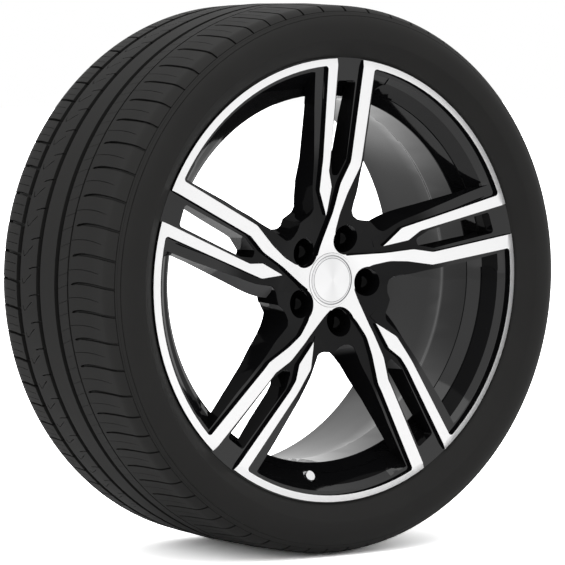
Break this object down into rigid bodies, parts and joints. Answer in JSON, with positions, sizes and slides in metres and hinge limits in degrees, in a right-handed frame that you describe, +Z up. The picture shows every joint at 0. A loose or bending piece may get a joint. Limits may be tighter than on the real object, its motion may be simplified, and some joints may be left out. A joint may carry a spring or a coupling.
{
  "type": "wheel and tyre assembly",
  "caption": "Car wheel with a low-profile road tyre: black cast wheel with twin spokes and a machined face, centre cap, and clamp-in valve with a pressure sensor inside.",
  "frame": {"origin": "on the spin axis, at the middle of the tyre's width", "axes": "+Y along the spin axis from the outer face towards the car, +Z up, the valve near the bottom"},
  "size_m": [0.673, 0.2768, 0.6728],
  "materials": {
    "black_alloy": "gloss black with a bright machined face",
    "tyre_rubber": "matt",
    "cap_plastic": "silver paint",
    "spring_steel": "bright",
    "valve_alloy": "satin",
    "bright_alloy": "bright",
    "seal_rubber": "matt",
    "brass": "plain",
    "sensor_plastic": "moulded"
  },
  "bodies": {
    "wheel": {"alloy_wheel": "black_alloy", "tyre": "tyre_rubber", "centre_cap": "cap_plastic", "cap_spring_ring": "spring_steel", "valve_stem": "valve_alloy", "valve_grommet": "seal_rubber", "valve_washer": "valve_alloy", "valve_nut": "valve_alloy", "valve_core": "brass", "pressure_sensor": "sensor_plastic", "sensor_screw": "spring_steel"},
    "valve_cap": {"valve_cap": "bright_alloy", "valve_cap_seal": "seal_rubber"},
    "valve_pin": {"valve_pin": "brass"}
  },
  "joints": [
    {"name": "valve_cap_twist", "type": "hinge", "parent": "wheel", "child": "valve_cap", "pos_m": [-0.03013, -0.10088, -0.23849], "axis": [0.053, -0.9063, 0.4193], "range_deg": [0, 1440]},
    {"name": "valve_pin_slide", "type": "slide", "parent": "wheel", "child": "valve_pin", "axis": [-0.053, 0.9063, -0.4193], "range_m": [0, 0.0012], "stiffness_N_per_m": 400, "springref_m": -0.002}
  ]
}
